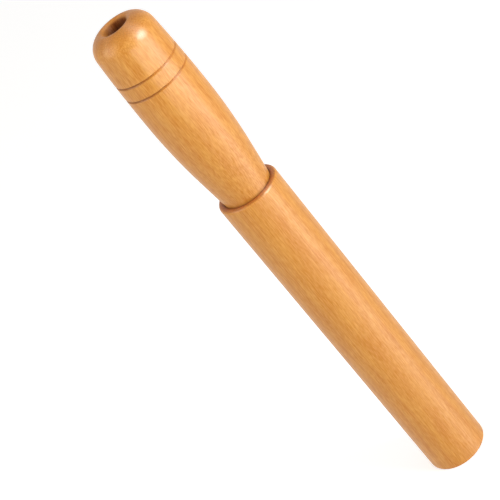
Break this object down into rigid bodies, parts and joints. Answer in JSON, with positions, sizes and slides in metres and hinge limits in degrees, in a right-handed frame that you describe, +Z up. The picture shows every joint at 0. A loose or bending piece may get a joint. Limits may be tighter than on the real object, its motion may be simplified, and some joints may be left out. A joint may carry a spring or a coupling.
{
  "type": "wild boar call",
  "caption": "Turned beech wild boar call: a domed mouthpiece with a blow hole plugs into a straight sound tube and covers a beating reed that gives the grunt.",
  "frame": {"origin": "centre of the tube's open end, where the call stands", "axes": "+Z up along the call's axis, from the tube's open end to the nose; the reed's flat face looks along -Y"},
  "size_m": [0.0232, 0.0232, 0.2017],
  "materials": {
    "beech": "satin lacquer over golden beech with fine flecks along the grain",
    "plain_beech": "bare turned beech",
    "board_plastic": "matt black plastic",
    "cork": "bare cork",
    "tongue_brass": "rolled brass strip",
    "rubber": "black rubber cord"
  },
  "bodies": {
    "tube": {"body_tube": "beech", "reed_block": "plain_beech", "tone_board": "board_plastic", "reed_wedge": "cork"},
    "joint_rings": {"lower_joint_ring": "rubber", "upper_joint_ring": "rubber"},
    "mouthpiece": {"mouthpiece": "beech"},
    "tongue": {"reed_tongue": "tongue_brass"},
    "tuning_ring": {"tuning_ring": "rubber"}
  },
  "joints": [
    {"name": "mouthpiece_pull", "type": "slide", "parent": "tube", "child": "joint_rings", "axis": [0, 0, 1], "range_m": [0, 0.05]},
    {"name": "mouthpiece_twist", "type": "hinge", "parent": "joint_rings", "child": "mouthpiece", "pos_m": [0, 0, 0.1239], "axis": [0, 0, 1], "continuous": true},
    {"name": "reed_flex", "type": "hinge", "parent": "tube", "child": "tongue", "pos_m": [0, -0.0003, 0.1174], "axis": [1, 0, 0], "range_deg": [-1, 1], "stiffness_Nm_per_rad": 0.02},
    {"name": "tuning_ring_slide", "type": "slide", "parent": "tube", "child": "tuning_ring", "axis": [0, 0, 1], "range_m": [0, 0.008]}
  ]
}
